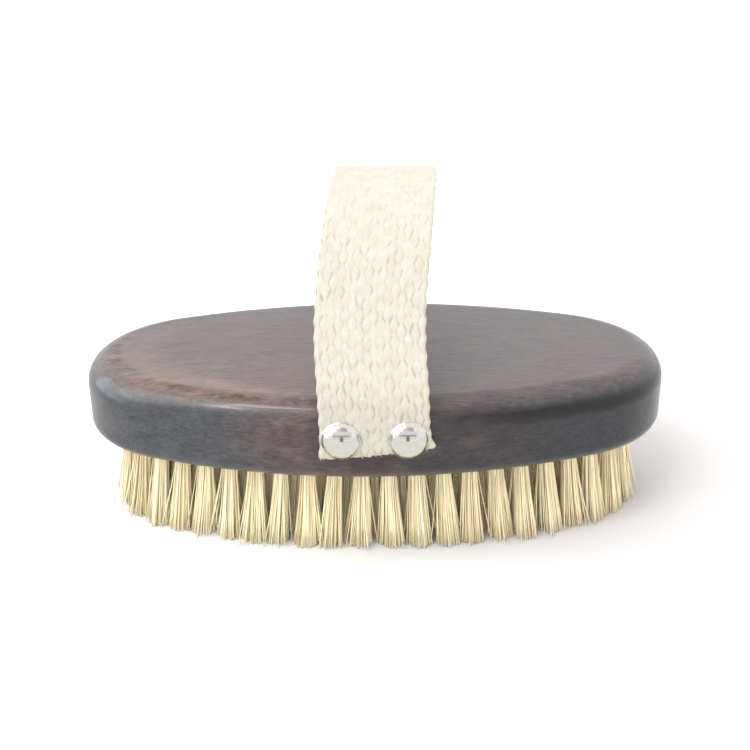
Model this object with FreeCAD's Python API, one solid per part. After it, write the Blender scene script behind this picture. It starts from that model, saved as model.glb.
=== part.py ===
import FreeCAD, Part
import math
import os

from FreeCAD import Vector

# Dry body brush with an oval wooden back, drilled bristle tufts and a webbing hand strap.
# Millimetres. The bristle tips stand on the plane z = 0, under the centre of the oval.
# +X runs along the brush, -Y is the front side, +Z points up through the strap.

# Wooden body
BODY_LENGTH = 140.0
BODY_WIDTH = 75.0
BODY_THICKNESS = 18.0
BODY_UNDERSIDE_Z = 19.5
END_RADIUS = 29.0
TOP_EDGE_RADIUS = 6.2
BOTTOM_EDGE_RADIUS = 3.4

# Bristle tufts and the staples that hold them
TUFT_HOLE_RADIUS = 2.05
TUFT_HOLE_DEPTH = 8.5
TUFT_ROOT_RADIUS = 2.0
TUFT_TIP_RADIUS = 2.7
STAPLE_WIDTH = 3.9
STAPLE_HEIGHT = 1.6
STAPLE_THICKNESS = 0.4
STAPLE_DROP = 1.5
STAPLE_CLEARANCE = 0.02
FOLD_GAP = 0.1
OUTER_RING_INSET = 7.5
RING_SPACING = 6.67
# Each closed ring: its name, its number of tufts and the first tuft's place, in pitches from +X
TUFT_RINGS = (
    ("outer", 48, 0.5),
    ("second", 42, 0.5),
    ("third", 36, 0.5),
    ("inner", 28, 0.0),
)
# The tufted area is a little shorter than the rings drawn parallel to the body's outline.
TUFT_AREA_RATIO = 0.968
# The tufts splay outwards: along the brush more from the middle on, across it more near the ends.
SPLAY_ALONG = 1.9
SPLAY_ALONG_ONSET = 14.0
SPLAY_ACROSS_MIDDLE = 0.4
SPLAY_ACROSS_ENDS = 1.6
SPLAY_ACROSS_REACH = 30.0
CENTRE_PAIR_COUNT = 5
CENTRE_PITCH = 6.3
CENTRE_PAIR_Y = 3.1
CENTRE_SINGLES_X = (-25.2, -19.0, 19.0, 25.2)

# Cotton webbing strap
STRAP_WIDTH = 24.0
STRAP_THICKNESS = 2.0
STRAP_BOTTOM_Z = 26.0
STRAP_TOP_Z = 81.0
STRAP_LEAN_DEG = 26.0
STRAP_CROWN_RADIUS = 31.0
STRAP_BEND_RADIUS = 12.0
FLEX_AXIS_Z = 46.0
FLEX_GAP = 0.3
SIDE_GAP = 0.05

# Domed nails: a cap pressed over the head of a tack
NAIL_SPACING = 14.6
NAIL_Z = 30.5
CAP_RADIUS = 4.2
CAP_HEIGHT = 2.7
CAP_WALL = 0.45
TACK_HEAD_RADIUS = 3.0
TACK_HEAD_THICKNESS = 0.6
TACK_SHANK_RADIUS = 0.7
TACK_LENGTH = 13.0
TACK_POINT_LENGTH = 2.5
TACK_POINT_RATIO = 0.1
SHANK_CLEARANCE = 0.05
PILOT_EXTRA_DEPTH = 0.1

BODY_TOP_Z = BODY_UNDERSIDE_Z + BODY_THICKNESS
HALF_LENGTH = BODY_LENGTH / 2
HALF_WIDTH = BODY_WIDTH / 2
# The oval is four arcs: two end arcs and two long side arcs tangent to them.
END_CENTRE_X = HALF_LENGTH - END_RADIUS
SIDE_RADIUS = (
    (HALF_LENGTH**2 - 2 * HALF_LENGTH * END_RADIUS + HALF_WIDTH**2)
    / (2 * (HALF_WIDTH - END_RADIUS))
)
SIDE_CENTRE_Y = SIDE_RADIUS - HALF_WIDTH
END_HALF_ANGLE = math.atan2(SIDE_CENTRE_Y, END_CENTRE_X)
UP = Vector(0, 0, 1)
EDGE_TOLERANCE = 0.01
CUTTER_OVERLAP = 1.0


def oval_wire(inset, z):
    """Closed four-arc outline, parallel to the body's outline and inset from it."""
    end_radius = END_RADIUS - inset
    side_radius = SIDE_RADIUS - inset
    junction_x = END_CENTRE_X + end_radius * math.cos(END_HALF_ANGLE)
    junction_y = end_radius * math.sin(END_HALF_ANGLE)
    right = Vector(HALF_LENGTH - inset, 0, z)
    left = Vector(-(HALF_LENGTH - inset), 0, z)
    rear = Vector(0, side_radius - SIDE_CENTRE_Y, z)
    front = Vector(0, -(side_radius - SIDE_CENTRE_Y), z)
    rear_right = Vector(junction_x, junction_y, z)
    rear_left = Vector(-junction_x, junction_y, z)
    front_right = Vector(junction_x, -junction_y, z)
    front_left = Vector(-junction_x, -junction_y, z)
    arcs = [
        Part.Arc(front_right, right, rear_right),
        Part.Arc(rear_right, rear, rear_left),
        Part.Arc(rear_left, left, front_left),
        Part.Arc(front_left, front, front_right),
    ]
    return Part.Wire([arc.toShape() for arc in arcs])


def oval_prism(inset, z_low, height):
    """Straight oval block on the plane z_low."""
    return Part.Face(oval_wire(inset, z_low)).extrude(Vector(0, 0, height))


def point_on_oval(inset, distance):
    """Point of the inset oval, at a distance along it, anticlockwise from its +X end."""
    end_radius = END_RADIUS - inset
    side_radius = SIDE_RADIUS - inset
    end_quarter = end_radius * END_HALF_ANGLE
    side_half_angle = math.pi / 2 - END_HALF_ANGLE
    side_length = 2 * side_radius * side_half_angle
    perimeter = 4 * end_quarter + 2 * side_length
    half = perimeter / 2
    along = distance % perimeter
    # The second half of the oval is the first half turned by 180 degrees.
    sign = 1.0
    if along >= half:
        along -= half
        sign = -1.0
    if along < end_quarter:
        angle = along / end_radius
        x = END_CENTRE_X + end_radius * math.cos(angle)
        y = end_radius * math.sin(angle)
    elif along < end_quarter + side_length:
        angle = END_HALF_ANGLE + (along - end_quarter) / side_radius
        x = side_radius * math.cos(angle)
        y = side_radius * math.sin(angle) - SIDE_CENTRE_Y
    else:
        angle = math.pi - END_HALF_ANGLE + (along - end_quarter - side_length) / end_radius
        x = end_radius * math.cos(angle) - END_CENTRE_X
        y = end_radius * math.sin(angle)
    return sign * x, sign * y


def ring_perimeter(inset):
    """Length round the inset oval."""
    side_half_angle = math.pi / 2 - END_HALF_ANGLE
    return 4 * ((END_RADIUS - inset) * END_HALF_ANGLE + (SIDE_RADIUS - inset) * side_half_angle)


def tuft_rows():
    """Places of all tufts: a list of (row name, [(x, y), ...]) from the rim inwards."""
    rows = []
    for index, (name, count, start) in enumerate(TUFT_RINGS):
        inset = OUTER_RING_INSET + index * RING_SPACING
        pitch = ring_perimeter(inset) / count
        ring = [point_on_oval(inset, (start + step) * pitch) for step in range(count)]
        rows.append((name, [(x * TUFT_AREA_RATIO, y) for x, y in ring]))
    # The middle is filled by a short double row with single tufts beyond its ends.
    centre = [(x, 0.0) for x in CENTRE_SINGLES_X]
    for step in range(CENTRE_PAIR_COUNT):
        x = (step - (CENTRE_PAIR_COUNT - 1) / 2) * CENTRE_PITCH
        centre.append((x, -CENTRE_PAIR_Y))
        centre.append((x, CENTRE_PAIR_Y))
    rows.append(("centre", centre))
    return rows


def tack_shank(radius, length, point_length):
    """Round shank from the origin along +Y, ending in a blunt cone."""
    straight = length - point_length
    inwards = Vector(0, 1, 0)
    shank = Part.makeCylinder(radius, straight, Vector(0, 0, 0), inwards)
    point_radius = radius * TACK_POINT_RATIO
    tip = Part.makeCone(radius, point_radius, point_length, Vector(0, straight, 0), inwards)
    return shank.fuse(tip).removeSplitter()


def on_side(shape, side):
    """The shape made for the front side, or turned half round onto the rear side."""
    placed = shape.copy()
    if side == "rear":
        placed.rotate(Vector(0, 0, 0), UP, 180)
    return placed


def nail_places():
    """Side, hand and direction of each nail: -1 or +1 along X, as made for the front side."""
    # Turning half round onto the rear side swaps left and right.
    return (
        ("front", "left", -1),
        ("front", "right", 1),
        ("rear", "right", -1),
        ("rear", "left", 1),
    )


def at_nail(shape, direction):
    """A shape made about the origin, moved to a nail's seat on the front strap end."""
    placed = shape.copy()
    placed.translate(Vector(0, -(HALF_WIDTH + SIDE_GAP + STRAP_THICKNESS), NAIL_Z))
    # The nails are driven square to the curved side, so they point at its arc's centre.
    turn = direction * math.degrees(NAIL_SPACING / 2 / SIDE_RADIUS)
    placed.rotate(Vector(0, SIDE_CENTRE_Y, 0), UP, turn)
    return placed


def nail_tack():
    """Tack with a flat round head: the head lies on the strap, the shank points into the wood."""
    head = Part.makeCylinder(
        TACK_HEAD_RADIUS, TACK_HEAD_THICKNESS, Vector(0, -TACK_HEAD_THICKNESS, 0), Vector(0, 1, 0)
    )
    return head.fuse(tack_shank(TACK_SHANK_RADIUS, TACK_LENGTH, TACK_POINT_LENGTH)).removeSplitter()


def dome(radius, height):
    """Solid spherical cap that bulges towards -Y from the plane y = 0."""
    sphere_radius = (radius**2 + height**2) / (2 * height)
    ball = Part.makeSphere(sphere_radius, Vector(0, sphere_radius - height, 0))
    outer_side = Part.makeBox(
        4 * radius, 2 * height, 4 * radius, Vector(-2 * radius, -2 * height, -2 * radius)
    )
    return ball.common(outer_side)


def nail_cap():
    """Hollow domed cap whose rim rests on the strap round the tack's head."""
    return dome(CAP_RADIUS, CAP_HEIGHT).cut(dome(CAP_RADIUS - CAP_WALL, CAP_HEIGHT - CAP_WALL))


def wooden_body(rows):
    """Oval block with rounded edges, blind tuft holes and pilot holes for the tacks."""
    block = oval_prism(0, BODY_UNDERSIDE_Z, BODY_THICKNESS)
    top_edges = [edge for edge in block.Edges if edge.BoundBox.ZMin > BODY_TOP_Z - EDGE_TOLERANCE]
    block = block.makeFillet(TOP_EDGE_RADIUS, top_edges)
    low_limit = BODY_UNDERSIDE_Z + EDGE_TOLERANCE
    bottom_edges = [edge for edge in block.Edges if edge.BoundBox.ZMax < low_limit]
    block = block.makeFillet(BOTTOM_EDGE_RADIUS, bottom_edges)
    cutters = []
    for _, places in rows:
        for x, y in places:
            hole = Part.makeCylinder(
                TUFT_HOLE_RADIUS,
                TUFT_HOLE_DEPTH + CUTTER_OVERLAP,
                Vector(x, y, BODY_UNDERSIDE_Z - CUTTER_OVERLAP),
            )
            cutters.append(hole)
    pilot_depth = TACK_LENGTH + PILOT_EXTRA_DEPTH
    pilot = tack_shank(TACK_SHANK_RADIUS + SHANK_CLEARANCE, pilot_depth, TACK_POINT_LENGTH)
    for side, _, direction in nail_places():
        cutters.append(on_side(at_nail(pilot, direction), side))
    return block.cut(Part.makeCompound(cutters))


def staple_angle(x, y):
    """Angle of a staple: along the brush, fanned out a little from the long middle line."""
    return math.degrees(math.atan2(y, END_CENTRE_X * 2 - abs(x))) * (1 if x >= 0 else -1)


def staple(x, y):
    """Flat wire staple that pins the fold of a tuft to the bottom of its hole."""
    top = BODY_UNDERSIDE_Z + TUFT_HOLE_DEPTH - STAPLE_DROP
    plate = Part.makeBox(
        STAPLE_WIDTH,
        STAPLE_THICKNESS,
        STAPLE_HEIGHT,
        Vector(-STAPLE_WIDTH / 2, -STAPLE_THICKNESS / 2, top - STAPLE_HEIGHT),
    )
    plate.rotate(Vector(0, 0, 0), UP, staple_angle(x, y))
    plate.translate(Vector(x, y, 0))
    return plate


def tuft_root():
    """Bristles folded in their hole: a round plug with the slot that the staple fills."""
    hole_end = BODY_UNDERSIDE_Z + TUFT_HOLE_DEPTH
    root_length = TUFT_HOLE_DEPTH - FOLD_GAP
    root = Part.makeCylinder(TUFT_ROOT_RADIUS, root_length, Vector(0, 0, BODY_UNDERSIDE_Z))
    slot = Part.makeBox(
        2 * (TUFT_ROOT_RADIUS + CUTTER_OVERLAP),
        STAPLE_THICKNESS + 2 * STAPLE_CLEARANCE,
        STAPLE_HEIGHT + 2 * STAPLE_CLEARANCE,
        Vector(
            -TUFT_ROOT_RADIUS - CUTTER_OVERLAP,
            -STAPLE_THICKNESS / 2 - STAPLE_CLEARANCE,
            hole_end - STAPLE_DROP - STAPLE_HEIGHT - STAPLE_CLEARANCE,
        ),
    )
    return root.cut(slot)


def tip_shift(x, y):
    """How far the tip of a tuft stands outwards from its root."""
    along = SPLAY_ALONG * (1 - math.exp(-abs(x) / SPLAY_ALONG_ONSET))
    end_share = min(abs(x) / SPLAY_ACROSS_REACH, 1.0)
    across = SPLAY_ACROSS_MIDDLE + (SPLAY_ACROSS_ENDS - SPLAY_ACROSS_MIDDLE) * end_share
    return Vector(math.copysign(along, x), across * y / (HALF_WIDTH - OUTER_RING_INSET), 0)


def tuft(root, x, y):
    """One tuft in its place: its root, slot in line with its staple, and its flared free length."""
    placed = root.copy()
    placed.rotate(Vector(0, 0, 0), UP, staple_angle(x, y))
    tip = Part.Wire(Part.makeCircle(TUFT_TIP_RADIUS, tip_shift(x, y)))
    neck = Part.Wire(Part.makeCircle(TUFT_ROOT_RADIUS, Vector(0, 0, BODY_UNDERSIDE_Z)))
    flare = Part.makeLoft([tip, neck], True, True)
    whole = placed.fuse(flare)
    whole.translate(Vector(x, y, 0))
    return whole


def strap_profile():
    """Section of the strap along its length: two legs that lean in to a round crown."""
    half = STRAP_THICKNESS / 2
    lean = math.radians(STRAP_LEAN_DEG)
    crown_z = STRAP_TOP_Z - half - STRAP_CROWN_RADIUS
    leg_y = HALF_WIDTH + FLEX_GAP + half
    # Crown tangent point and the bend that turns the upright leg into the leaning one
    crown_point = Vector(0, -STRAP_CROWN_RADIUS * math.cos(lean), crown_z)
    crown_point.z += STRAP_CROWN_RADIUS * math.sin(lean)
    corner_z = crown_point.z - (leg_y + crown_point.y) / math.tan(lean)
    bend_reach = STRAP_BEND_RADIUS * math.tan(lean / 2)
    bend_centre = Vector(0, -leg_y + STRAP_BEND_RADIUS, corner_z - bend_reach)
    low_z = FLEX_AXIS_Z - STRAP_WIDTH

    def leg_side(offset, mirror):
        """Points of one side of a front leg at an offset outwards from its middle."""
        bend_radius = STRAP_BEND_RADIUS + offset
        crown_radius = STRAP_CROWN_RADIUS + offset
        upright_low = Vector(0, bend_centre.y - bend_radius, low_z)
        bend_start = Vector(0, bend_centre.y - bend_radius, bend_centre.z)
        bend_middle = bend_centre + Vector(
            0, -bend_radius * math.cos(lean / 2), bend_radius * math.sin(lean / 2)
        )
        bend_end = bend_centre + Vector(0, -bend_radius * math.cos(lean), bend_radius * math.sin(lean))
        crown_start = Vector(
            0, -crown_radius * math.cos(lean), crown_z + crown_radius * math.sin(lean)
        )
        points = [upright_low, bend_start, bend_middle, bend_end, crown_start]
        if mirror:
            points = [Vector(0, -point.y, point.z) for point in points]
        return points

    def band_side(offset):
        """Edges of the whole band at an offset, from the front leg over the crown to the rear."""
        front = leg_side(offset, False)
        rear = leg_side(offset, True)
        crown_top = Vector(0, 0, crown_z + STRAP_CROWN_RADIUS + offset)
        return [
            Part.LineSegment(front[0], front[1]).toShape(),
            Part.Arc(front[1], front[2], front[3]).toShape(),
            Part.LineSegment(front[3], front[4]).toShape(),
            Part.Arc(front[4], crown_top, rear[4]).toShape(),
            Part.LineSegment(rear[4], rear[3]).toShape(),
            Part.Arc(rear[3], rear[2], rear[1]).toShape(),
            Part.LineSegment(rear[1], rear[0]).toShape(),
        ]

    outer = band_side(half)
    inner = band_side(-half)
    front_end = Part.LineSegment(leg_side(half, False)[0], leg_side(-half, False)[0]).toShape()
    rear_end = Part.LineSegment(leg_side(half, True)[0], leg_side(-half, True)[0]).toShape()
    edges = outer + [rear_end] + inner + [front_end]
    return Part.Face(Part.Wire(Part.__sortEdges__(edges)))


def strap_arch():
    """Free part of the strap, whose legs end in a half round about the flexing axis."""
    band = strap_profile()
    band.translate(Vector(-STRAP_WIDTH / 2, 0, 0))
    band = band.extrude(Vector(STRAP_WIDTH, 0, 0))
    reach = BODY_WIDTH
    round_end = Part.makeCylinder(
        STRAP_WIDTH / 2, 2 * reach, Vector(0, -reach, FLEX_AXIS_Z), Vector(0, 1, 0)
    )
    above = Part.makeBox(
        2 * STRAP_WIDTH, 2 * reach, 2 * reach, Vector(-STRAP_WIDTH, -reach, FLEX_AXIS_Z)
    )
    return band.common(above.fuse(round_end))


def strap_end():
    """Nailed front end of the strap, bent round the side of the body, with two tack holes."""
    inner = oval_prism(-SIDE_GAP, STRAP_BOTTOM_Z, FLEX_AXIS_Z - STRAP_BOTTOM_Z)
    outer = oval_prism(-SIDE_GAP - STRAP_THICKNESS, STRAP_BOTTOM_Z, FLEX_AXIS_Z - STRAP_BOTTOM_Z)
    window = Part.makeBox(
        STRAP_WIDTH,
        HALF_WIDTH,
        FLEX_AXIS_Z - STRAP_BOTTOM_Z,
        Vector(-STRAP_WIDTH / 2, -HALF_WIDTH - 2 * STRAP_THICKNESS, STRAP_BOTTOM_Z),
    )
    end = outer.cut(inner).common(window)
    swing_room = Part.makeCylinder(
        STRAP_WIDTH / 2 + FLEX_GAP, BODY_WIDTH, Vector(0, -BODY_WIDTH, FLEX_AXIS_Z), Vector(0, 1, 0)
    )
    end = end.cut(swing_room)
    hole = Part.makeCylinder(
        TACK_SHANK_RADIUS + SHANK_CLEARANCE,
        4 * STRAP_THICKNESS,
        Vector(0, -STRAP_THICKNESS, 0),
        Vector(0, 1, 0),
    )
    return end.cut([at_nail(hole, -1), at_nail(hole, 1)])


def save(shape, node):
    """Write one sub-part and print its solids, volume and box."""
    shape.exportStep("parts/" + node + ".step")
    box = shape.BoundBox
    print(
        f"{node:24s} solids {len(shape.Solids):3d}  valid {shape.isValid()}  "
        f"volume {shape.Volume:10.2f}  "
        f"x {box.XMin:7.2f} {box.XMax:7.2f}  y {box.YMin:7.2f} {box.YMax:7.2f}  "
        f"z {box.ZMin:7.2f} {box.ZMax:7.2f}"
    )


def save_tuft_rows(rows):
    """Write each row of tufts and its staples, as a left and a right group."""
    root = tuft_root()
    for name, places in rows:
        # A tuft on the middle line belongs to the right group.
        halves = {
            "left": [place for place in places if place[0] < -EDGE_TOLERANCE],
            "right": [place for place in places if place[0] >= -EDGE_TOLERANCE],
        }
        for half, half_places in halves.items():
            tufts = [tuft(root, x, y) for x, y in half_places]
            staples = [staple(x, y) for x, y in half_places]
            save(Part.makeCompound(tufts), f"bristles_{name}_{half}")
            save(Part.makeCompound(staples), f"staples_{name}_{half}")


def save_nails():
    """Write the caps and tacks of the four nails."""
    cap = nail_cap()
    tack = nail_tack()
    for side, hand, direction in nail_places():
        for name, shape in (("cap", cap), ("tack", tack)):
            save(on_side(at_nail(shape, direction), side), f"nail_{name}_{side}_{hand}")


def main():
    os.makedirs("parts", exist_ok=True)
    rows = tuft_rows()
    save(wooden_body(rows), "wooden_body")
    save_tuft_rows(rows)
    save(strap_arch(), "strap_arch")
    end = strap_end()
    for side in ("front", "rear"):
        save(on_side(end, side), f"strap_end_{side}")
    save_nails()


main()
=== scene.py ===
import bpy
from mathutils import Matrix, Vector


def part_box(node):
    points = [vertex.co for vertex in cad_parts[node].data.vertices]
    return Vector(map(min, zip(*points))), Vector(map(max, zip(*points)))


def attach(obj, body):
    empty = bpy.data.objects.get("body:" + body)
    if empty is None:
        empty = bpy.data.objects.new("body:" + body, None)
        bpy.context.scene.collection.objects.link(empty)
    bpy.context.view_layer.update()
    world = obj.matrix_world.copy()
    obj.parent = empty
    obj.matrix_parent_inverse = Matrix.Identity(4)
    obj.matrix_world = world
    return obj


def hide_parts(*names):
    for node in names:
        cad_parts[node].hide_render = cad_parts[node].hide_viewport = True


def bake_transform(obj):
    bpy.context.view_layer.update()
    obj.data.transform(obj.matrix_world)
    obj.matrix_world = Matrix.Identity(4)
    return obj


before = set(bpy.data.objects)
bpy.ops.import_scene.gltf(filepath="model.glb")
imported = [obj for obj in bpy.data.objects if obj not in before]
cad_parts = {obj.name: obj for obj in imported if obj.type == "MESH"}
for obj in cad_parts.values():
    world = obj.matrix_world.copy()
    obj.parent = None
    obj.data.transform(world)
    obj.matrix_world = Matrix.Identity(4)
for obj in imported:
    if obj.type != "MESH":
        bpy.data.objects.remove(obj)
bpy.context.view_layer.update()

import math

import bpy
import numpy as np
from mathutils import Matrix, Vector

MM = 0.001

# Camera
CAMERA_TARGET = Vector((0.0, 0.0, 30.15 * MM))
CAMERA_DISTANCE = 269.2 * MM
CAMERA_ELEVATION = math.radians(22.15)
CAMERA_AZIMUTH = math.radians(0.24)
CAMERA_ROLL = math.radians(0.65)
CAMERA_LENS_MM = 52.17
CAMERA_SENSOR_MM = 36.0
CAMERA_CLIP_START = 10.0 * MM
CAMERA_SHIFT = (0.0003, -0.0029)

# Wooden body
BODY_HALF_LENGTH = 70.0 * MM
BODY_HALF_WIDTH = 37.5 * MM
SIDE_ARC_RADIUS = 132.1 * MM  # of the long sides, seen from above
TOP_STAIN = (34.0 * MM, 37.3 * MM)  # heights over which the side's stain gives way to the top's

# Bristles
BRISTLE_SEED = 7
STRANDS_PER_TUFT = 122
STRAND_SIDES = 5
STRAND_STEPS = 4
STRAND_RADIUS = (0.105 * MM, 0.155 * MM)
STRAND_SUNK = 1.5 * MM  # how far a strand starts inside its hole
STRAND_SCATTER = 0.28 * MM
STRAND_BOW = 0.10 * MM
ROOT_RADIUS = 1.55 * MM
GOLDEN_ANGLE = 2.39996
TUFT_LEAN = 0.38 * MM
TIP_SPREAD = 1.78  # tip radius over root radius
TIP_SPREAD_SCATTER = 0.16
TIP_UNEVENNESS = 0.8 * MM
STRAY_SHARE = 0.11
END_LEVEL = 0.5 * MM  # a CAD point this near a tuft's end belongs to that end

# Strap
STRAP_WIDTH = 23.8 * MM
STRAP_THICKNESS = 1.9 * MM
STRAP_LENGTH_MM = 147.3  # flat, for the colour of the cut ends only
STRAP_LEAN = math.radians(26.0)
STRAP_CROWN_RADIUS = 31.0 * MM
STRAP_BEND_RADIUS = 12.0 * MM
STRAP_RELAX_PASSES = 60
STRAP_ROWS = 500
STRAP_COLUMNS = 96
STRAP_FOLLOWS_BODY = 14.0 * MM  # length of each end that takes the body's curve
SIDEWAYS_STOPS = [0.0, 0.08, 0.2, 0.36, 0.5, 0.64, 0.8, 0.92, 1.0]
SIDEWAYS_MM = [0.0, 0.0, -1.2, 1.3, 3.1, 2.4, 0.8, 0.0, 0.0]
SIDEWAYS_WINDOW = 61  # rows that the sideways drift is smoothed over
EDGE_SCALLOP = 0.11 * MM
EDGE_ROUNDING = 0.07  # share of the half width
CROWN_WEAR = 0.42
CROWN_WEAR_REACH = 27.0 * MM

# Weave
WEAVE_SEEDS = (3, 4)  # outer and inner face
WEAVE_COLUMNS = 16
WEAVE_REPEAT = 3.68 * MM
WEAVE_HEIGHT = 0.29 * MM
WEAVE_SLIDE = 0.07
WEAVE_SWELL = 0.12
WEAVE_STRAY = 0.04
OVAL_WAIST = 0.30  # reach of an oval's ends, in columns
OVAL_BELLY = 0.42
OVAL_WAIST_HEIGHT = 0.76
INNER_FACE_OFFSET = 50.0  # sets the inner face's colour apart from the outer's

# Cut ends of the strap
CUT_SEED = 11
CUT_REACH = 9.0 * MM
CUT_RAGGED_MM = 0.22
CUT_RAGGED_COLUMNS = 3
FRINGE_SEED = 21
FRINGE_ENDS = 64
FRINGE_REACH = 0.97  # of the half width
FRINGE_LENGTH_MM = (0.08, 0.42)
FRINGE_LONG_SHARE = 0.10
FRINGE_LONG_EXTRA_MM = (0.2, 0.6)
FRINGE_ROOT = 0.8 * MM  # how far a yarn end starts inside the strap
FRINGE_RADIUS_MM = (0.09, 0.19)
FRINGE_RELIEF = 0.6

# Nail caps
CAP_RADIUS = 4.33 * MM
CAP_HEIGHT = 2.7 * MM
CAP_RIM_RADIUS = 0.10 * MM
CAP_SEGMENTS = 96
CAP_DOME_STEPS = 25
CAP_RIM_STEPS = 6
CAP_BACK_LIFT = 0.02 * MM

# Studio
TABLE_HALF_SIZE = 6.0
TABLE_LEVEL = -0.05 * MM
TABLE_SHEEN_LEVEL = -0.02 * MM
SURROUNDINGS_STRENGTH = 1.1
LIGHT_AIM = Vector((0.0, 0.0, 20.0 * MM))
CARD_PIVOT_HEIGHT = 30.0 * MM


# ---------------------------------------------------------------- helpers

def new_object(name, vertices, faces, smooth=True):
    """Mesh object from coordinates and faces, linked to the scene."""
    mesh = bpy.data.meshes.new(name)
    mesh.from_pydata([tuple(map(float, vertex)) for vertex in vertices], [], faces)
    mesh.validate()
    mesh.update()
    if smooth:
        mesh.polygons.foreach_set("use_smooth", [True] * len(mesh.polygons))
    piece = bpy.data.objects.new(name, mesh)
    bpy.context.scene.collection.objects.link(piece)
    return piece


def set_material(piece, material):
    """Give a piece one material."""
    piece.data.materials.clear()
    piece.data.materials.append(material)


class Nodes:
    """Short calls to build a material's node tree."""

    def __init__(self, name):
        self.material = bpy.data.materials.new(name)
        self.material.use_nodes = True
        self.tree = self.material.node_tree
        self.shader = self.tree.nodes["Principled BSDF"]

    def add(self, kind, **settings):
        node = self.tree.nodes.new(kind)
        for key, value in settings.items():
            setattr(node, key, value)
        return node

    def link(self, output, socket):
        self.tree.links.new(output, socket)

    def set(self, **values):
        """Constants for the shader's sockets, with _ for each space in a socket's name."""
        for key, value in values.items():
            self.shader.inputs[key.replace("_", " ")].default_value = value

    def drive(self, **outputs):
        """Outputs that feed the shader's sockets, named as in set."""
        for key, output in outputs.items():
            self.link(output, self.shader.inputs[key.replace("_", " ")])

    def place(self):
        """Object coordinates, in metres."""
        return self.add("ShaderNodeTexCoord").outputs["Object"]

    def mapped(self, vector, **settings):
        """A vector after a mapping: settings are the mapping's own sockets."""
        node = self.add("ShaderNodeMapping")
        for key, value in settings.items():
            node.inputs[key].default_value = value
        self.link(vector, node.inputs["Vector"])
        return node.outputs["Vector"]

    def coordinates(self, scale):
        """Object coordinates, stretched by a scale on each axis."""
        return self.mapped(self.place(), Scale=scale)

    def split(self, vector):
        """The x, y and z of a vector."""
        node = self.add("ShaderNodeSeparateXYZ")
        self.link(vector, node.inputs[0])
        return node.outputs["X"], node.outputs["Y"], node.outputs["Z"]

    def noise(self, vector, scale, detail=3.0, roughness=0.5, distortion=0.0):
        node = self.add("ShaderNodeTexNoise")
        node.inputs["Scale"].default_value = scale
        node.inputs["Detail"].default_value = detail
        node.inputs["Roughness"].default_value = roughness
        node.inputs["Distortion"].default_value = distortion
        self.link(vector, node.inputs["Vector"])
        return node.outputs["Fac"]

    def ramp(self, value, *stops):
        """Colour ramp: stops are (position, (r, g, b))."""
        node = self.add("ShaderNodeValToRGB")
        elements = node.color_ramp.elements
        while len(elements) < len(stops):
            elements.new(0.5)
        for element, (position, colour) in zip(elements, stops):
            element.position = position
            element.color = (*colour, 1.0)
        self.link(value, node.inputs["Fac"])
        return node.outputs["Color"]

    def mix(self, factor, first, second, blend="MIX"):
        node = self.add("ShaderNodeMix", data_type="RGBA", blend_type=blend)
        # In colour mode the factor is input 0 and the two colours are inputs 6 and 7.
        for index, value in ((0, factor), (6, first), (7, second)):
            socket = node.inputs[index]
            if isinstance(value, (int, float)):
                socket.default_value = value
            elif isinstance(value, tuple):
                socket.default_value = (*value, 1.0)
            else:
                self.link(value, socket)
        return node.outputs[2]

    def tinted(self, colour, tint, factor=1.0):
        """A colour multiplied by another."""
        return self.mix(factor, colour, tint, "MULTIPLY")

    def maths(self, operation, first, second=0.0):
        node = self.add("ShaderNodeMath", operation=operation)
        for socket, value in zip(node.inputs, (first, second)):
            if isinstance(value, (int, float)):
                socket.default_value = value
            else:
                self.link(value, socket)
        return node.outputs[0]

    def plus(self, first, second):
        return self.maths("ADD", first, second)

    def times(self, first, second):
        return self.maths("MULTIPLY", first, second)

    def square(self, value):
        return self.maths("POWER", self.maths("ABSOLUTE", value), 2.0)

    def span(self, value, low, high):
        """0 at low and 1 at high, easing in between; low may be the greater of the two."""
        node = self.add("ShaderNodeMapRange", interpolation_type="SMOOTHSTEP")
        node.inputs["From Min"].default_value = low
        node.inputs["From Max"].default_value = high
        self.link(value, node.inputs["Value"])
        return node.outputs["Result"]

    def bump(self, height, strength, distance):
        node = self.add("ShaderNodeBump")
        node.inputs["Strength"].default_value = strength
        node.inputs["Distance"].default_value = distance
        self.link(height, node.inputs["Height"])
        self.drive(Normal=node.outputs["Normal"])


# ---------------------------------------------------------------- materials

def side_stain(nodes, x, mottle, clouds, leftness):
    """Colour of the body's side: brown in the middle, slate at the ends, paler on the left."""
    reach = nodes.maths("ABSOLUTE", nodes.plus(x, 3.0 * MM))
    reach = nodes.plus(reach, nodes.times(nodes.maths("SUBTRACT", clouds, 0.5), 60 * MM))
    ends = nodes.span(reach, 8 * MM, 44 * MM)
    brown = nodes.ramp(
        mottle,
        (0.30, (0.020, 0.015, 0.016)),
        (0.50, (0.033, 0.024, 0.024)),
        (0.68, (0.055, 0.038, 0.036)),
    )
    slate = nodes.ramp(
        mottle,
        (0.30, (0.015, 0.016, 0.019)),
        (0.52, (0.020, 0.022, 0.026)),
        (0.72, (0.028, 0.029, 0.033)),
    )
    side = nodes.mix(ends, brown, slate)
    return nodes.mix(leftness, side, nodes.tinted(side, (1.95, 1.95, 1.92)))


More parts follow.
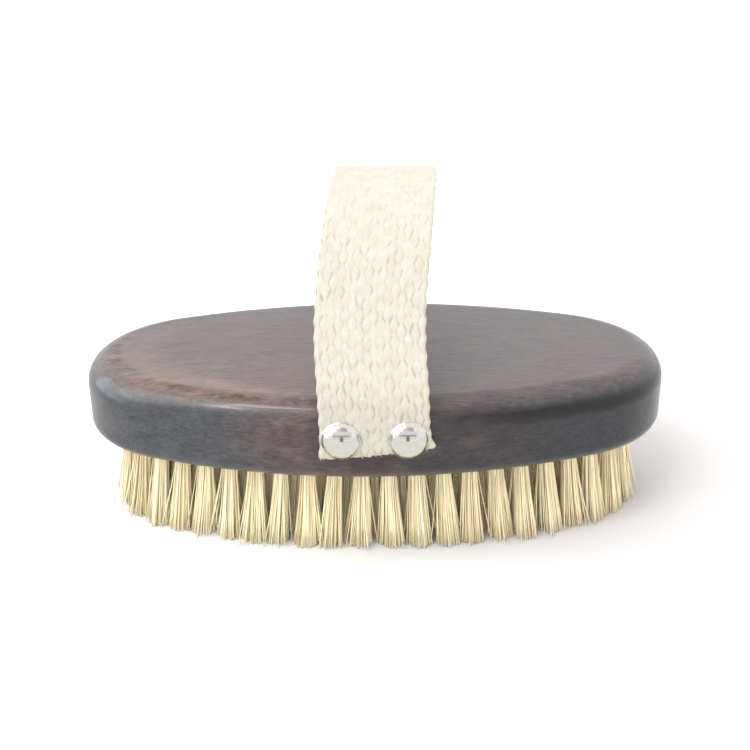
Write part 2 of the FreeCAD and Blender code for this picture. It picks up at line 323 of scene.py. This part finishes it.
def top_stain(nodes, x, y, grain, mottle, clouds, leftness):
    """Colour of the body's top: brownish grey, thin and warm towards the left front."""
    figure = nodes.plus(nodes.times(grain, 0.40), nodes.times(mottle, 0.60))
    face = nodes.ramp(
        figure,
        (0.32, (0.048, 0.038, 0.040)),
        (0.50, (0.067, 0.051, 0.051)),
        (0.68, (0.090, 0.066, 0.061)),
    )
    face = nodes.mix(leftness, nodes.tinted(face, (0.91, 0.915, 0.945)), face)

    # A warm patch with an uneven outline
    across = nodes.times(nodes.plus(x, 34 * MM), 1 / (36 * MM))
    depth = nodes.times(nodes.plus(y, 19 * MM), 1 / (15 * MM))
    spot = nodes.plus(nodes.square(across), nodes.square(depth))
    spot = nodes.plus(spot, nodes.times(nodes.maths("SUBTRACT", clouds, 0.5), 1.8))
    thin = nodes.span(spot, 1.3, 0.1)
    face = nodes.mix(thin, face, nodes.tinted(face, (1.28, 1.16, 1.08)))

    # Yellowish towards the edge, with reddish specks where the rounding starts
    length_share = nodes.square(nodes.maths("DIVIDE", x, BODY_HALF_LENGTH))
    width_share = nodes.square(nodes.maths("DIVIDE", y, BODY_HALF_WIDTH))
    oval = nodes.plus(length_share, width_share)
    front_left = nodes.times(nodes.span(x, 12 * MM, -20 * MM), nodes.span(y, 24 * MM, -2 * MM))
    rim = nodes.times(nodes.span(oval, 0.46, 0.72), front_left)
    face = nodes.mix(rim, face, nodes.tinted(face, (1.50, 1.47, 1.32)))
    specks = nodes.ramp(mottle, (0.40, (0.46, 0.38, 0.37)), (0.58, (1.0, 0.96, 0.95)))
    line = nodes.times(nodes.span(oval, 0.76, 0.81), nodes.span(oval, 0.90, 0.85))
    line = nodes.times(line, front_left)
    return nodes.mix(line, face, nodes.tinted(face, specks))


def wood_material():
    """Dark stained, finely grained hardwood under a satin lacquer."""
    nodes = Nodes("stained_wood")
    x, y, z = nodes.split(nodes.place())
    grain = nodes.noise(
        nodes.coordinates((12, 240, 240)), 4.0, detail=7.0, roughness=0.66, distortion=0.3,
    )
    fine = nodes.noise(nodes.coordinates((170, 900, 900)), 2.0, detail=4.0, roughness=0.7)
    mottle = nodes.noise(
        nodes.coordinates((90, 170, 170)), 1.6, detail=5.0, roughness=0.68, distortion=0.4,
    )
    clouds = nodes.noise(nodes.coordinates((20, 38, 50)), 1.4, detail=2.0, roughness=0.5)

    # The colour is paler towards the left half.
    leftness = nodes.span(x, 25 * MM, -40 * MM)
    side = side_stain(nodes, x, mottle, clouds, leftness)
    face = top_stain(nodes, x, y, grain, mottle, clouds, leftness)
    colour = nodes.mix(nodes.span(z, *TOP_STAIN), side, face)

    # A dark line is painted under the right front edge, standing in for the dark reflection the lacquer
    # shows there.
    painted_dark_reflection = nodes.times(
        nodes.span(z, 30.5 * MM, 32.8 * MM), nodes.span(z, 35.4 * MM, 33.6 * MM),
    )
    painted_dark_reflection = nodes.times(painted_dark_reflection, nodes.span(x, 10 * MM, 34 * MM))
    colour = nodes.mix(painted_dark_reflection, colour, nodes.tinted(colour, (0.25, 0.22, 0.25)))

    speckle = nodes.ramp(
        fine,
        (0.34, (0.62, 0.60, 0.61)),
        (0.50, (1.0, 1.0, 1.0)),
        (0.66, (1.35, 1.28, 1.24)),
    )
    roughness = nodes.ramp(grain, (0.3, (0.36, 0.36, 0.36)), (0.7, (0.5, 0.5, 0.5)))
    nodes.drive(Base_Color=nodes.tinted(colour, speckle, 0.85), Roughness=roughness)
    nodes.set(Coat_Weight=0.65, Coat_Roughness=0.13, Coat_IOR=1.42, Specular_IOR_Level=0.25)
    nodes.bump(nodes.plus(nodes.times(grain, 0.7), nodes.times(fine, 0.8)), 0.3, 0.05 * MM)
    return nodes.material


def webbing_material():
    """Undyed cotton: cream yarn, with painted shade in the hollows of the weave, and its twist as bump.
    """
    nodes = Nodes("cotton_webbing")
    place = nodes.add("ShaderNodeAttribute", attribute_name="cloth").outputs["Vector"]
    relief = nodes.add("ShaderNodeAttribute", attribute_name="relief").outputs["Fac"]
    twist = nodes.mapped(place, Scale=(1.0, 0.3, 1.0), Rotation=(0.0, 0.0, 0.35))
    fibres = nodes.noise(twist, 7.0, detail=4.0, roughness=0.65)
    uneven = nodes.noise(place, 0.35, detail=3.0, roughness=0.6)
    cream = nodes.ramp(uneven, (0.3, (0.386, 0.361, 0.297)), (0.7, (0.446, 0.424, 0.363)))
    # Painted shade: the yarn is greyer where the weave is low, in its hollows.
    hollow_shade = nodes.ramp(
        relief,
        (0.08, (0.74, 0.72, 0.685)),
        (0.44, (0.935, 0.925, 0.915)),
        (0.74, (1.0, 1.0, 1.0)),
    )
    tint = nodes.ramp(fibres, (0.25, (0.88, 0.865, 0.84)), (0.6, (1.0, 1.0, 1.0)))
    colour = nodes.tinted(nodes.tinted(cream, hollow_shade), tint)

    # The handled yarn at the two cut ends is a little yellowed.
    half_length = STRAP_LENGTH_MM / 2
    _, along, _ = nodes.split(place)
    from_crown = nodes.maths("ABSOLUTE", nodes.maths("SUBTRACT", along, half_length))
    cut = nodes.span(from_crown, half_length - 1.6, half_length - 0.2)
    colour = nodes.mix(cut, colour, nodes.tinted(colour, (0.98, 0.92, 0.78)))

    # Bits of husk are left in the undyed yarn.
    bits = nodes.noise(place, 1.9, detail=1.0)
    husk = nodes.ramp(bits, (0.76, (1.0, 1.0, 1.0)), (0.81, (0.45, 0.36, 0.26)))
    nodes.drive(Base_Color=nodes.tinted(colour, husk))
    nodes.set(Roughness=0.92, Sheen_Weight=0.15, Sheen_Roughness=0.5)
    nodes.bump(fibres, 0.5, 0.10 * MM)
    return nodes.material


def bristle_material():
    """Pale plant fibre: straw yellow, each strand a little different."""
    nodes = Nodes("plant_fibre")
    island = nodes.add("ShaderNodeNewGeometry").outputs["Random Per Island"]
    strand = nodes.ramp(
        island,
        (0.0, (0.70, 0.58, 0.35)),
        (0.2, (0.82, 0.71, 0.45)),
        (0.7, (0.88, 0.79, 0.54)),
        (1.0, (0.93, 0.87, 0.65)),
    )
    along = nodes.noise(nodes.coordinates((900, 900, 120)), 1.0, detail=2.0)
    shade = nodes.ramp(along, (0.3, (0.88, 0.86, 0.82)), (0.7, (1.04, 1.03, 1.02)))
    nodes.drive(Base_Color=nodes.tinted(strand, shade))
    nodes.set(Roughness=0.45)
    nodes.bump(along, 0.2, 0.05 * MM)
    return nodes.material


def nickel_material():
    """Polished nickel plate with the faintest unevenness."""
    nodes = Nodes("polished_nickel")
    wear = nodes.noise(nodes.coordinates((1, 1, 1)), 900.0, detail=2.0)
    colour = nodes.ramp(wear, (0.3, (0.69, 0.68, 0.63)), (0.7, (0.75, 0.74, 0.69)))
    nodes.drive(Base_Color=colour)
    nodes.set(Metallic=1.0, Roughness=0.10)
    nodes.bump(wear, 0.02, 0.02 * MM)
    return nodes.material


def steel_material():
    """Plain drawn wire, lightly streaked."""
    nodes = Nodes("steel_wire")
    streaks = nodes.noise(nodes.coordinates((400, 60, 400)), 3.0, detail=2.0)
    colour = nodes.ramp(streaks, (0.3, (0.42, 0.42, 0.43)), (0.7, (0.58, 0.58, 0.58)))
    nodes.drive(Base_Color=colour)
    nodes.set(Metallic=1.0, Roughness=0.35)
    nodes.bump(streaks, 0.1, 0.02 * MM)
    return nodes.material


def floor_material():
    """Plain white table top, with a painted shadow around the right end of the brush."""
    nodes = Nodes("white_table")
    offset = nodes.mapped(nodes.place(), Location=(-75 * MM, -12 * MM, 0.0))
    distance = nodes.add("ShaderNodeVectorMath", operation="LENGTH")
    nodes.link(offset, distance.inputs[0])
    # Painted shadow: the table is greyer near the right end of the brush, where its shadow falls.
    outside_painted_shadow = nodes.span(distance.outputs["Value"], 30 * MM, 200 * MM)
    nodes.drive(Base_Color=nodes.mix(outside_painted_shadow, (0.52, 0.503, 0.505), (0.93, 0.93, 0.93)))
    nodes.set(Roughness=0.9, Specular_IOR_Level=0.1)
    return nodes.material


# ---------------------------------------------------------------- bristles

def tuft_places(node):
    """Root and tip middles of each tuft of a CAD node, from left to right."""
    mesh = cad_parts[node].data
    parent = list(range(len(mesh.vertices)))

    def root_of(index):
        while parent[index] != index:
            parent[index] = parent[parent[index]]
            index = parent[index]
        return index

    for edge in mesh.edges:
        first, second = root_of(edge.vertices[0]), root_of(edge.vertices[1])
        if first != second:
            parent[first] = second
    groups = {}
    for vertex in mesh.vertices:
        groups.setdefault(root_of(vertex.index), []).append(tuple(vertex.co))
    places = []
    for points in groups.values():
        points = np.array(points)
        tip = points[points[:, 2] < END_LEVEL]
        root = points[points[:, 2] > points[:, 2].max() - END_LEVEL]
        # Only the flared face of a tuft reaches from its tip to its root.
        if len(tip) and root[0, 2] > END_LEVEL:
            places.append([(end.min(0) + end.max(0))[:2] / 2 for end in (root, tip)])
    return sorted(places, key=lambda place: tuple(place[0]))


def strand_tube(route, radius):
    """Vertices and faces of one closed strand along a route from root to tip."""
    steps = len(route)
    angles = np.arange(STRAND_SIDES) * 2 * math.pi / STRAND_SIDES
    ring = np.stack([np.cos(angles), np.sin(angles), np.zeros(STRAND_SIDES)], 1)
    vertices = (route[:, None, :] + ring[None] * radius).reshape(-1, 3)
    faces = []
    for step in range(steps - 1):
        for side in range(STRAND_SIDES):
            other = (side + 1) % STRAND_SIDES
            low, high = step * STRAND_SIDES, (step + 1) * STRAND_SIDES
            faces.append((low + other, low + side, high + side, high + other))
    faces.append(tuple(range(STRAND_SIDES)))
    last = (steps - 1) * STRAND_SIDES
    faces.append(tuple(last + side for side in reversed(range(STRAND_SIDES))))
    return vertices, faces


class StrandBundle:
    """Vertices and faces of many strands, gathered for one mesh."""

    def __init__(self):
        self.vertices = []
        self.faces = []
        self.count = 0

    def add(self, route, radius):
        """Add one strand; gives back its vertices."""
        vertices, faces = strand_tube(route, radius)
        self.vertices.append(vertices)
        self.faces.extend(tuple(index + self.count for index in face) for face in faces)
        self.count += len(vertices)
        return vertices


def tuft_strands(place, underside, rng):
    """Routes and radii of the strands of one tuft, given its root and tip middles."""
    base, tip_middle = place
    lean = tip_middle - base + rng.normal(0.0, TUFT_LEAN, 2)
    squeeze = rng.uniform(0.9, 1.1, 2)
    height = underside + STRAND_SUNK
    share = np.linspace(0.0, 1.0, STRAND_STEPS + 1)
    strands = []
    for number in range(STRANDS_PER_TUFT):
        distance = ROOT_RADIUS * math.sqrt((number + 0.5) / STRANDS_PER_TUFT)
        angle = number * GOLDEN_ANGLE + rng.uniform(-0.3, 0.3)
        root = np.array([math.cos(angle), math.sin(angle)]) * distance
        spread = rng.normal(TIP_SPREAD, TIP_SPREAD_SCATTER)
        tip = root * spread * squeeze + lean + rng.normal(0.0, STRAND_SCATTER, 2)
        if rng.random() < STRAY_SHARE:
            tip += root / ROOT_RADIUS * rng.uniform(0.6, 2.4) * MM + rng.normal(0.0, 0.6 * MM, 2)
        end = abs(rng.normal(0.0, TIP_UNEVENNESS / 2))
        bow = rng.normal(0.0, STRAND_BOW, 2)
        flare = share ** rng.uniform(1.05, 1.4)
        route = np.zeros((len(share), 3))
        for axis in (0, 1):
            route[:, axis] = base[axis] + root[axis] + (tip[axis] - root[axis]) * flare
            route[:, axis] += bow[axis] * np.sin(share * math.pi)
        route[:, 2] = height + (end - height) * share
        strands.append((route, rng.uniform(*STRAND_RADIUS)))
    return strands


def build_bristles(material):
    """Real strands in place of each CAD group of tufts."""
    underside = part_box("wooden_body")[0].z
    names = sorted(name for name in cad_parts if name.startswith("bristles_"))
    rng = np.random.default_rng(BRISTLE_SEED)
    for name in names:
        bundle = StrandBundle()
        for place in tuft_places(name):
            for route, radius in tuft_strands(place, underside, rng):
                bundle.add(route, radius)
        vertices = np.concatenate(bundle.vertices)
        vertices[:, 2] = np.maximum(vertices[:, 2], 0.0)
        piece = new_object("strands_" + name.removeprefix("bristles_"), vertices, bundle.faces)
        set_material(piece, material)
        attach(piece, "root")
        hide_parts(name)


# ---------------------------------------------------------------- strap

def strap_route(samples):
    """Middle line of the strap in the YZ plane, from its front cut end to its rear cut end."""
    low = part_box("strap_end_front")[0]
    arch_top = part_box("strap_arch")[1].z
    half = STRAP_THICKNESS / 2
    leg_y = -low.y - half
    crown_z = arch_top - half - STRAP_CROWN_RADIUS
    crown_y = STRAP_CROWN_RADIUS * math.cos(STRAP_LEAN)
    tangent_z = crown_z + STRAP_CROWN_RADIUS * math.sin(STRAP_LEAN)
    corner_z = tangent_z - (leg_y - crown_y) / math.tan(STRAP_LEAN)
    bend_z = corner_z - STRAP_BEND_RADIUS * math.tan(STRAP_LEAN / 2)
    points = [(-leg_y, z) for z in np.linspace(low.z, bend_z, 24)]
    for angle in np.linspace(0.0, STRAP_LEAN, 12)[1:]:
        y = -leg_y + STRAP_BEND_RADIUS * (1 - math.cos(angle))
        points.append((y, bend_z + STRAP_BEND_RADIUS * math.sin(angle)))
    for angle in np.linspace(STRAP_LEAN, math.pi / 2, 40)[:-1]:
        y = -STRAP_CROWN_RADIUS * math.cos(angle)
        points.append((y, crown_z + STRAP_CROWN_RADIUS * math.sin(angle)))
    rear = [(-y, z) for y, z in reversed(points)]
    points = np.array(points + [(0.0, crown_z + STRAP_CROWN_RADIUS)] + rear)
    steps = np.concatenate([[0.0], np.cumsum(np.hypot(*np.diff(points, axis=0).T))])
    along = np.linspace(0.0, steps[-1], samples)
    route = np.stack([np.interp(along, steps, points[:, axis]) for axis in (0, 1)], 1)
    # Webbing has no sudden change of bend, so the line is relaxed a little between its ends.
    for _ in range(STRAP_RELAX_PASSES):
        route[1:-1] += 0.25 * (route[:-2] + route[2:] - 2 * route[1:-1])
    return along, route


def sideways_drift(along):
    """How far the strap's middle wanders sideways on its way over the body."""
    middle = np.interp(along / along[-1], SIDEWAYS_STOPS, SIDEWAYS_MM) * MM
    kernel = np.ones(SIDEWAYS_WINDOW) / SIDEWAYS_WINDOW
    return np.convolve(np.pad(middle, SIDEWAYS_WINDOW // 2, mode="edge"), kernel, mode="valid")


def weave_height(across, along, seed):
    """Height of the woven face, 0 to 1: lengthwise columns of ovals that fit between each other."""
    pitch = STRAP_WIDTH / WEAVE_COLUMNS
    rng = np.random.default_rng(seed)
    cells = int(along.max() / WEAVE_REPEAT) + 3
    height = np.zeros_like(across)
    for column in range(WEAVE_COLUMNS):
        slide = rng.normal(0.0, WEAVE_SLIDE, cells)
        swell = rng.normal(1.0, WEAVE_SWELL, cells)
        stray = rng.normal(0.0, WEAVE_STRAY, cells)
        phase = along / WEAVE_REPEAT + (column % 2) / 2
        cell = np.clip(np.floor(phase).astype(int), 0, cells - 1)
        part = phase - np.floor(phase) - 0.5
        # An oval's ends stay in place, so that it joins the next one in its column.
        inner = 1 - (2 * part) ** 2
        belly = 0.5 + 0.5 * np.cos(2 * math.pi * (part + slide[cell] * inner))
        middle = (column + 0.5 + stray[cell] * inner) * pitch - STRAP_WIDTH / 2
        reach = pitch * (OVAL_WAIST + OVAL_BELLY * swell[cell] * belly)
        profile = np.sqrt(np.clip(1 - ((across - middle) / reach) ** 2, 0.0, 1.0))
        profile *= OVAL_WAIST_HEIGHT + (1 - OVAL_WAIST_HEIGHT) * belly
        height = np.maximum(height, profile)
    return height


def cut_slant(across):
    """Rise of a cut end above its lowest corner; across runs from -1 to 1."""
    return np.interp(across, [-1.0, -0.2, 0.3, 1.0], [0.0, 0.7, 1.2, 2.5]) * MM


def cut_spread(across):
    """How far the loosened corners of a cut end stand out sideways."""
    right = np.clip((across - 0.55) / 0.45, 0, 1)
    left = np.clip((-across - 0.6) / 0.4, 0, 1)
    return (right * 1.3 - left * 0.3) * MM


def cut_ends(vertices, along, across):
    """Cut both ends by hand, askew and ragged: the front one lower on the left, spread on the right."""
    rng = np.random.default_rng(CUT_SEED)
    for sign, distance in ((1.0, along), (-1.0, along[-1] - along)):
        near = np.clip(1 - distance / CUT_REACH, 0, 1)[:, None]
        steps = rng.uniform(-CUT_RAGGED_MM, CUT_RAGGED_MM, len(across) // CUT_RAGGED_COLUMNS + 1)
        ragged = np.repeat(steps * MM, CUT_RAGGED_COLUMNS)[:len(across)]
        vertices[:, :, :, 2] += near * cut_slant(across * sign) + near**8 * ragged
        vertices[:, :, :, 0] += near**3 * cut_spread(across * sign) * sign


def note_cloth(piece, places, relief):
    """Store where each point lies on the cloth, and how high on its weave, for the material."""
    attribute = piece.data.attributes.new("cloth", "FLOAT_VECTOR", "POINT")
    attribute.data.foreach_set("vector", np.asarray(places, np.float32).reshape(-1))
    attribute = piece.data.attributes.new("relief", "FLOAT", "POINT")
    attribute.data.foreach_set("value", np.asarray(relief, np.float32).reshape(-1))


def build_cut_fringe(material, leg_y):
    """Short loose yarn ends along both cut edges of the strap."""
    rng = np.random.default_rng(FRINGE_SEED)
    cut_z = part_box("strap_end_front")[0].z
    bundle, places = StrandBundle(), []
    for side in (-1.0, 1.0):
        for number in range(FRINGE_ENDS):
            share_across = (number + rng.uniform(0.1, 0.9)) / FRINGE_ENDS
            across = FRINGE_REACH * (2 * share_across - 1)
            x = across * STRAP_WIDTH / 2 + float(cut_spread(across)) * 0.9
            z = cut_z + float(cut_slant(across))
            depth = rng.uniform(-0.6, 0.6) * MM
            length = rng.uniform(*FRINGE_LENGTH_MM) * MM
            if rng.random() < FRINGE_LONG_SHARE:
                length += rng.uniform(*FRINGE_LONG_EXTRA_MM) * MM
            drift = rng.normal(0.0, 0.5, 2) * length
            fall = np.array([-FRINGE_ROOT, 0.0, length * 0.5, length])
            bend = (np.clip(fall, 0, None) / length) ** 1.5
            route = np.zeros((len(fall), 3))
            route[:, 0] = x + drift[0] * bend
            route[:, 1] = leg_y - x**2 / (2 * SIDE_ARC_RADIUS) + depth + drift[1] * bend
            route[:, 2] = z - fall
            route *= (-side, side, 1.0)
            points = bundle.add(route, rng.uniform(*FRINGE_RADIUS_MM) * MM)
            # Kept before the cloth's first cut end, so that every loose end is yellowed too.
            shift = (rng.uniform(0, 40), -rng.uniform(1, 40), 0)
            places.append(points * (1, 0, 1) / MM + shift)
    piece = new_object("cut_fringe", np.concatenate(bundle.vertices), bundle.faces)
    places = np.concatenate(places)
    note_cloth(piece, places, np.full(len(places), FRINGE_RELIEF))
    set_material(piece, material)
    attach(piece, "root")
    return piece


def double_sided_faces(rows, columns):
    """Faces of two grids of points, one behind the other, closed around their border."""
    count = rows * columns
    faces = []
    for row in range(rows - 1):
        for column in range(columns - 1):
            a = row * columns + column
            b, c, d = a + 1, a + columns + 1, a + columns
            faces.append((a, b, c, d))
            faces.append((count + a, count + d, count + c, count + b))
    border = [row * columns for row in range(rows)]
    border += [(rows - 1) * columns + column for column in range(1, columns)]
    border += [row * columns + columns - 1 for row in range(rows - 2, -1, -1)]
    border += list(range(columns - 2, 0, -1))
    for first, second in zip(border, border[1:] + border[:1]):
        faces.append((first, second, count + second, count + first))
    return faces


def build_strap(material):
    """One continuous band of webbing with a woven relief on both faces."""
    rows, columns = STRAP_ROWS, STRAP_COLUMNS
    along, route = strap_route(rows)
    length = along[-1]
    tangent = np.gradient(route, along, axis=0)
    tangent /= np.linalg.norm(tangent, axis=1)[:, None]
    # The outer face looks away from the hand gap.
    outward = np.stack([-tangent[:, 1], tangent[:, 0]], 1)
    scallop = EDGE_SCALLOP * np.sin(along / WEAVE_REPEAT * 2 * math.pi)

    across = np.linspace(-1.0, 1.0, columns)
    grid_s = np.repeat(along[:, None], columns, 1)
    grid_x = np.repeat(across[None] * STRAP_WIDTH / 2, rows, 0)
    # The yarn is worn flatter over the crown, where the hand goes.
    worn = 1 - CROWN_WEAR * np.exp(-(((grid_s - length / 2) / CROWN_WEAR_REACH) ** 2))
    reliefs = [1 - (1 - weave_height(grid_x, grid_s, seed)) * worn for seed in WEAVE_SEEDS]

    into_edge = np.clip((np.abs(across) - 1 + EDGE_ROUNDING) / EDGE_ROUNDING, 0, 1)
    edge_fall = np.sqrt(np.clip(1 - into_edge**2, 0, 1))
    core = STRAP_THICKNESS / 2 - WEAVE_HEIGHT
    # Only the edges follow the scallop, and only the nailed ends the curved side of the body.
    x = grid_x + across[None] ** 9 * scallop[:, None] + sideways_drift(along)[:, None]
    from_end = np.minimum(along, length - along)
    end_share = np.clip(1 - from_end / STRAP_FOLLOWS_BODY, 0, 1)[:, None]
    wrap = x**2 / (2 * SIDE_ARC_RADIUS) * end_share * -np.sign(route[:, :1])
    vertices = np.zeros((2, rows, columns, 3))
    places = np.zeros((2, rows, columns, 3))
    for face, sign in enumerate((1.0, -1.0)):
        lift = (core + WEAVE_HEIGHT * reliefs[face]) * edge_fall[None] * sign
        vertices[face, :, :, 0] = x
        vertices[face, :, :, 1] = route[:, :1] + outward[:, :1] * lift + wrap
        vertices[face, :, :, 2] = route[:, 1:] + outward[:, 1:] * lift
        places[face, :, :, 0] = grid_x / MM
        places[face, :, :, 1] = grid_s / MM
        places[face, :, :, 2] = face * INNER_FACE_OFFSET
    cut_ends(vertices, along, across)

    faces = double_sided_faces(rows, columns)
    piece = new_object("webbing_strap", vertices.reshape(-1, 3), faces)
    note_cloth(piece, places, np.stack(reliefs))
    set_material(piece, material)
    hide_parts("strap_arch", "strap_end_front", "strap_end_rear")
    fringe = build_cut_fringe(material, -route[0, 0])
    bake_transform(piece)


# ---------------------------------------------------------------- nails

def cap_profile():
    """Radius and height of each ring of a nail cap, from near its crown to under its rim."""
    ball = (CAP_RADIUS**2 + CAP_HEIGHT**2) / (2 * CAP_HEIGHT)
    opening = math.asin(CAP_RADIUS / ball)
    profile = []
    for step in range(1, CAP_DOME_STEPS):
        angle = opening * step / CAP_DOME_STEPS
        profile.append((ball * math.sin(angle), CAP_HEIGHT - ball * (1 - math.cos(angle))))
    for step in range(CAP_RIM_STEPS + 1):
        angle = math.pi / 2 - opening - step / CAP_RIM_STEPS * (math.pi - opening)
        profile.append((
            CAP_RADIUS - CAP_RIM_RADIUS * (1 - math.cos(angle)),
            CAP_RIM_RADIUS * (1 + math.sin(angle)),
        ))
    return profile


def cap_faces(rings):
    """Faces of a turned cap: its crown point, its rings and its back point, in that order."""
    tail = 1 + (rings - 1) * CAP_SEGMENTS
    last = tail + CAP_SEGMENTS
    faces = []
    for turn in range(CAP_SEGMENTS):
        other = (turn + 1) % CAP_SEGMENTS
        faces.append((0, 1 + turn, 1 + other))
        for ring in range(rings - 1):
            a = 1 + ring * CAP_SEGMENTS
            b = a + CAP_SEGMENTS
            faces.append((a + turn, b + turn, b + other, a + other))
        faces.append((tail + turn, last, tail + other))
    return faces


def build_nail_caps(material):
    """Polished domes with a small rolled rim, square to the curved side of the body."""
    profile = cap_profile()
    up = Vector((0, 0, 1))
    for node in sorted(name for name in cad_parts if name.startswith("nail_cap_")):
        low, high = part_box(node)
        centre = (low + high) / 2
        front = centre.y < 0
        axis = Vector((centre.x / SIDE_ARC_RADIUS, -1.0 if front else 1.0, 0)).normalized()
        crown = Vector((centre.x, low.y if front else high.y, centre.z))
        seat = crown - axis * CAP_HEIGHT
        side = up.cross(axis)
        vertices = [crown]
        for radius, lift in profile:
            for turn in range(CAP_SEGMENTS):
                angle = turn * 2 * math.pi / CAP_SEGMENTS
                around = side * math.cos(angle) + up * math.sin(angle)
                vertices.append(seat + axis * lift + around * radius)
        vertices.append(seat + axis * CAP_BACK_LIFT)
        name = node.replace("nail_cap", "nail_dome")
        piece = new_object(name, vertices, cap_faces(len(profile)))
        set_material(piece, material)
        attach(piece, "root")
        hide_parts(node)


# ---------------------------------------------------------------- studio

def build_camera():
    """Camera a little above the brush, square to its front side."""
    azimuth, elevation = CAMERA_AZIMUTH, CAMERA_ELEVATION
    back = Vector((
        math.sin(azimuth) * math.cos(elevation),
        -math.cos(azimuth) * math.cos(elevation),
        math.sin(elevation),
    ))
    right = Vector((math.cos(azimuth), math.sin(azimuth), 0.0))
    up = back.cross(right)
    rolled_right = right * math.cos(CAMERA_ROLL) - up * math.sin(CAMERA_ROLL)
    rolled_up = up * math.cos(CAMERA_ROLL) + right * math.sin(CAMERA_ROLL)
    place = CAMERA_TARGET + back * CAMERA_DISTANCE
    lens = bpy.data.cameras.new("camera")
    lens.lens = CAMERA_LENS_MM
    lens.sensor_width = CAMERA_SENSOR_MM
    lens.shift_x, lens.shift_y = CAMERA_SHIFT
    lens.clip_start = CAMERA_CLIP_START
    camera = bpy.data.objects.new("camera", lens)
    bpy.context.scene.collection.objects.link(camera)
    axes = Matrix((rolled_right, rolled_up, back)).transposed()
    camera.matrix_world = Matrix.Translation(place) @ axes.to_4x4()
    bpy.context.scene.camera = camera


def area_light(name, place, size, power, in_reflections=True):
    """Soft box at a place, aimed at the brush."""
    data = bpy.data.lights.new(name, "AREA")
    data.shape = "RECTANGLE"
    data.size, data.size_y = size
    data.energy = power
    light = bpy.data.objects.new(name, data)
    bpy.context.scene.collection.objects.link(light)
    aim = (LIGHT_AIM - Vector(place)).to_track_quat("-Z", "Y")
    light.matrix_world = Matrix.Translation(place) @ aim.to_matrix().to_4x4()
    light.visible_camera = False
    light.visible_glossy = in_reflections


def reflected_surface(name, corners, colour):
    """Flat surface that shows only in polished and lacquered things."""
    nodes = Nodes(name)
    emission = nodes.add("ShaderNodeEmission")
    emission.inputs["Color"].default_value = (*colour, 1.0)
    nodes.link(emission.outputs[0], nodes.tree.nodes["Material Output"].inputs["Surface"])
    surface = new_object(name, corners, [(0, 1, 2, 3)], smooth=False)
    set_material(surface, nodes.material)
    surface.visible_camera = False
    surface.visible_diffuse = False
    surface.visible_shadow = False
    surface.visible_transmission = False


def reflected_card(name, elevation, distance, size, colour, azimuth=0.0):
    """Card facing the brush; azimuth 0 is the camera's side of the room, growing to the left."""
    angle, turn = math.radians(elevation), math.radians(azimuth)
    level = Vector((-math.sin(turn), -math.cos(turn), 0.0))
    sideways = Vector((math.cos(turn), -math.sin(turn), 0.0))
    pivot = Vector((0, 0, math.sin(angle) * distance + CARD_PIVOT_HEIGHT))
    middle = level * math.cos(angle) * distance + pivot
    upwards = Vector((0, 0, 1)) * math.cos(angle) - level * math.sin(angle)
    half_width, half_height = size[0] / 2, size[1] / 2
    signs = ((-1, -1), (1, -1), (1, 1), (-1, 1))
    corners = [middle + sideways * x * half_width + upwards * y * half_height for x, y in signs]
    reflected_surface(name, corners, colour)


def level_square(half, height):
    """Corners of a level square around the origin."""
    return [(x * half, y * half, height) for x, y in ((-1, -1), (1, -1), (1, 1), (-1, 1))]


def build_studio():
    """White table, even white surroundings, soft boxes and what the polished nails reflect."""
    corners = level_square(TABLE_HALF_SIZE, TABLE_LEVEL)
    floor = new_object("table", corners, [(0, 1, 2, 3)], smooth=False)
    set_material(floor, floor_material())
    world = bpy.data.worlds.new("studio")
    bpy.context.scene.world = world
    world.use_nodes = True
    background = world.node_tree.nodes["Background"]
    background.inputs["Color"].default_value = (1.0, 1.0, 1.0, 1.0)
    background.inputs["Strength"].default_value = SURROUNDINGS_STRENGTH

    # Only key and key_front are mirrored: key_front is the highlight along the left front edge.
    area_light("key", (-0.71, -0.19, 0.57), (0.57, 0.57), 2.4)
    area_light("key_right", (0.70, 0.10, 0.43), (0.30, 0.30), 1.3, in_reflections=False)
    area_light("key_front", (-0.30, -0.40, 0.80), (0.38, 0.38), 5.3)
    area_light("overhead", (0.1, 0.15, 0.95), (0.7, 0.7), 3.6, in_reflections=False)
    area_light("front_fill", (0.30, -0.72, 0.14), (1.1, 0.3), 2.4, in_reflections=False)

    # The table and the room as the nails and the lacquer mirror them
    sheen = level_square(TABLE_HALF_SIZE, TABLE_SHEEN_LEVEL)
    reflected_surface("table_sheen", sheen, (1.0, 0.99, 0.96))
    reflected_card("room_wall", 30.0, 0.75, (1.9, 0.66), (0.95, 0.92, 0.91))
    reflected_card("photographer_stem", 11.0, 0.5, (0.14, 0.24), (0.27, 0.27, 0.31))
    reflected_card("photographer_bar", 25.0, 0.49, (0.85, 0.07), (0.46, 0.43, 0.54))
    reflected_card("ceiling_gap", 58.0, 0.5, (0.52, 0.17), (0.74, 0.53, 0.54))
    reflected_card("window", 16.0, 0.95, (0.80, 0.56), (3.0, 3.25, 3.5), azimuth=98.0)
    view = bpy.context.scene.view_settings
    view.view_transform = "Standard"
    view.look = "None"


def main():
    build_camera()
    build_studio()
    set_material(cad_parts["wooden_body"], wood_material())
    steel = steel_material()
    for name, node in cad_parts.items():
        if name.startswith(("staples_", "nail_tack_")):
            set_material(node, steel)
    build_bristles(bristle_material())
    build_strap(webbing_material())
    build_nail_caps(nickel_material())


main()
